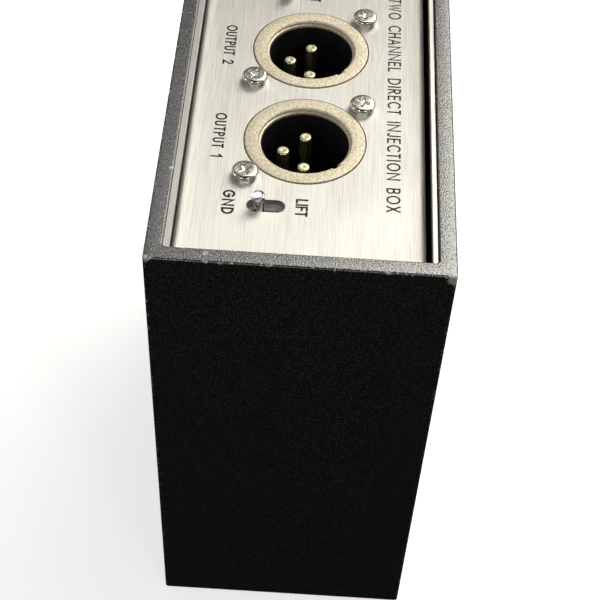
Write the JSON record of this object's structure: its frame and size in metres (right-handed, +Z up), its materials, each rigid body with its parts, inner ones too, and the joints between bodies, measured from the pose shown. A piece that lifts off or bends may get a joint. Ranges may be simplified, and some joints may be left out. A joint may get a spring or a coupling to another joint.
{
  "type": "direct injection box",
  "caption": "Compact passive direct injection box: sleeve case, recessed end panels, locking-size output sockets, jack inputs and small lever switches.",
  "frame": {"origin": "middle of the footprint, feet included, on the lower (input end) rim", "axes": "+Z up, out of the output panel; -X the side with the feet; +Y towards channel 2"},
  "size_m": [0.0556, 0.096, 0.114],
  "materials": {
    "case_paint": "fine textured black powder coat",
    "sheet_metal": "bare sheet, mill finish",
    "brushed_panel": "brushed along the length, clear anodised",
    "socket_metal": "satin nickel on a die casting",
    "socket_plastic": "moulded, matte",
    "contact_gold": "thin gold plate",
    "bright_nickel": "bright nickel plate",
    "lever_chrome": "polished chrome plate",
    "frame_metal": "dull nickel plate",
    "switch_plastic": "moulded phenolic",
    "jack_plastic": "glass-filled, moulded",
    "tinned_terminal": "tin plate",
    "can_metal": "drawn nickel-iron, annealed grey",
    "core_steel": "stacked laminations",
    "copper_wire": "enamelled copper",
    "board": "green solder mask",
    "resistor": "lacquered body",
    "capacitor": "film in a moulded box",
    "wire_cover": "insulated wire",
    "fastener": "zinc plate",
    "black_screw": "black oxide",
    "foot_rubber": "moulded rubber",
    "panel_ink": "black screen print on the panels"
  },
  "bodies": {
    "enclosure": {"case_sleeve": "case_paint", "chassis": "sheet_metal", "output_panel": "brushed_panel", "circuit_board": "board", "board_standoffs": "fastener", "board_screws": "fastener", "resistors": "resistor", "capacitors": "capacitor", "output_wires": "wire_cover", "output_screws": "bright_nickel", "switch_terminals": "tinned_terminal", "jack_nuts": "bright_nickel", "jack_washers": "bright_nickel", "jack_terminals": "tinned_terminal", "transformer_pins": "tinned_terminal", "rubber_feet": "foot_rubber", "foot_screws": "black_screw", "case_nuts": "fastener", "output_1_shell": "socket_metal", "output_1_insert": "socket_plastic", "output_1_contacts": "contact_gold", "transformer_1_can": "can_metal", "transformer_1_winding": "copper_wire", "transformer_1_core": "core_steel", "output_2_shell": "socket_metal", "output_2_insert": "socket_plastic", "output_2_contacts": "contact_gold", "transformer_2_can": "can_metal", "transformer_2_winding": "copper_wire", "transformer_2_core": "core_steel", "ground_lift_1_body": "switch_plastic", "ground_lift_1_frame": "frame_metal", "ground_lift_2_body": "switch_plastic", "ground_lift_2_frame": "frame_metal", "pad_1_body": "switch_plastic", "pad_1_frame": "frame_metal", "pad_2_body": "switch_plastic", "pad_2_frame": "frame_metal", "input_1_housing": "jack_plastic", "input_1_bushing": "bright_nickel", "thru_1_housing": "jack_plastic", "thru_1_bushing": "bright_nickel", "thru_2_housing": "jack_plastic", "thru_2_bushing": "bright_nickel", "input_2_housing": "jack_plastic", "input_2_bushing": "bright_nickel"},
    "ground_lift_1_lever": {"ground_lift_1_lever": "lever_chrome"},
    "ground_lift_1_rocker": {"ground_lift_1_rocker": "contact_gold"},
    "ground_lift_2_lever": {"ground_lift_2_lever": "lever_chrome"},
    "ground_lift_2_rocker": {"ground_lift_2_rocker": "contact_gold"},
    "pad_1_lever": {"pad_1_lever": "lever_chrome"},
    "pad_1_rocker": {"pad_1_rocker": "contact_gold"},
    "pad_2_lever": {"pad_2_lever": "lever_chrome"},
    "pad_2_rocker": {"pad_2_rocker": "contact_gold"},
    "input_1_tip_spring": {"input_1_tip_spring": "contact_gold"},
    "thru_1_tip_spring": {"thru_1_tip_spring": "contact_gold"},
    "thru_2_tip_spring": {"thru_2_tip_spring": "contact_gold"},
    "input_2_tip_spring": {"input_2_tip_spring": "contact_gold"}
  },
  "joints": [
    {"name": "ground_lift_1_throw", "type": "hinge", "parent": "enclosure", "child": "ground_lift_1_lever", "pos_m": [-0.00585, -0.03045, 0.0992], "axis": [0, 1, 0], "range_deg": [0, 12]},
    {"name": "ground_lift_1_contact", "type": "hinge", "parent": "enclosure", "child": "ground_lift_1_rocker", "pos_m": [-0.00585, -0.03045, 0.0946], "axis": [0, 1, 0], "range_deg": [-12, 0]},
    {"name": "ground_lift_2_throw", "type": "hinge", "parent": "enclosure", "child": "ground_lift_2_lever", "pos_m": [-0.00585, 0.03045, 0.0992], "axis": [0, 1, 0], "range_deg": [-12, 0]},
    {"name": "ground_lift_2_contact", "type": "hinge", "parent": "enclosure", "child": "ground_lift_2_rocker", "pos_m": [-0.00585, 0.03045, 0.0946], "axis": [0, 1, 0], "range_deg": [0, 12]},
    {"name": "pad_1_throw", "type": "hinge", "parent": "enclosure", "child": "pad_1_lever", "pos_m": [-0.00585, -0.0235, 0.017], "axis": [0, 1, 0], "range_deg": [-12, 0]},
    {"name": "pad_1_contact", "type": "hinge", "parent": "enclosure", "child": "pad_1_rocker", "pos_m": [-0.00585, -0.0235, 0.0216], "axis": [0, 1, 0], "range_deg": [0, 12]},
    {"name": "pad_2_throw", "type": "hinge", "parent": "enclosure", "child": "pad_2_lever", "pos_m": [-0.00585, 0.0235, 0.017], "axis": [0, 1, 0], "range_deg": [-12, 0]},
    {"name": "pad_2_contact", "type": "hinge", "parent": "enclosure", "child": "pad_2_rocker", "pos_m": [-0.00585, 0.0235, 0.0216], "axis": [0, 1, 0], "range_deg": [0, 12]},
    {"name": "input_1_tip_flex", "type": "hinge", "parent": "enclosure", "child": "input_1_tip_spring", "pos_m": [0.0014, -0.036, 0.019], "axis": [0, 1, 0], "range_deg": [0, 5], "stiffness_Nm_per_rad": 0.05},
    {"name": "thru_1_tip_flex", "type": "hinge", "parent": "enclosure", "child": "thru_1_tip_spring", "pos_m": [0.0014, -0.011, 0.019], "axis": [0, 1, 0], "range_deg": [0, 5], "stiffness_Nm_per_rad": 0.05},
    {"name": "thru_2_tip_flex", "type": "hinge", "parent": "enclosure", "child": "thru_2_tip_spring", "pos_m": [0.0014, 0.011, 0.019], "axis": [0, 1, 0], "range_deg": [0, 5], "stiffness_Nm_per_rad": 0.05},
    {"name": "input_2_tip_flex", "type": "hinge", "parent": "enclosure", "child": "input_2_tip_spring", "pos_m": [0.0014, 0.036, 0.019], "axis": [0, 1, 0], "range_deg": [0, 5], "stiffness_Nm_per_rad": 0.05}
  ],
  "couplings": [
    {"joint": "ground_lift_1_contact", "follows": "ground_lift_1_throw", "ratio": -1},
    {"joint": "ground_lift_2_contact", "follows": "ground_lift_2_throw", "ratio": -1},
    {"joint": "pad_1_contact", "follows": "pad_1_throw", "ratio": -1},
    {"joint": "pad_2_contact", "follows": "pad_2_throw", "ratio": -1}
  ]
}
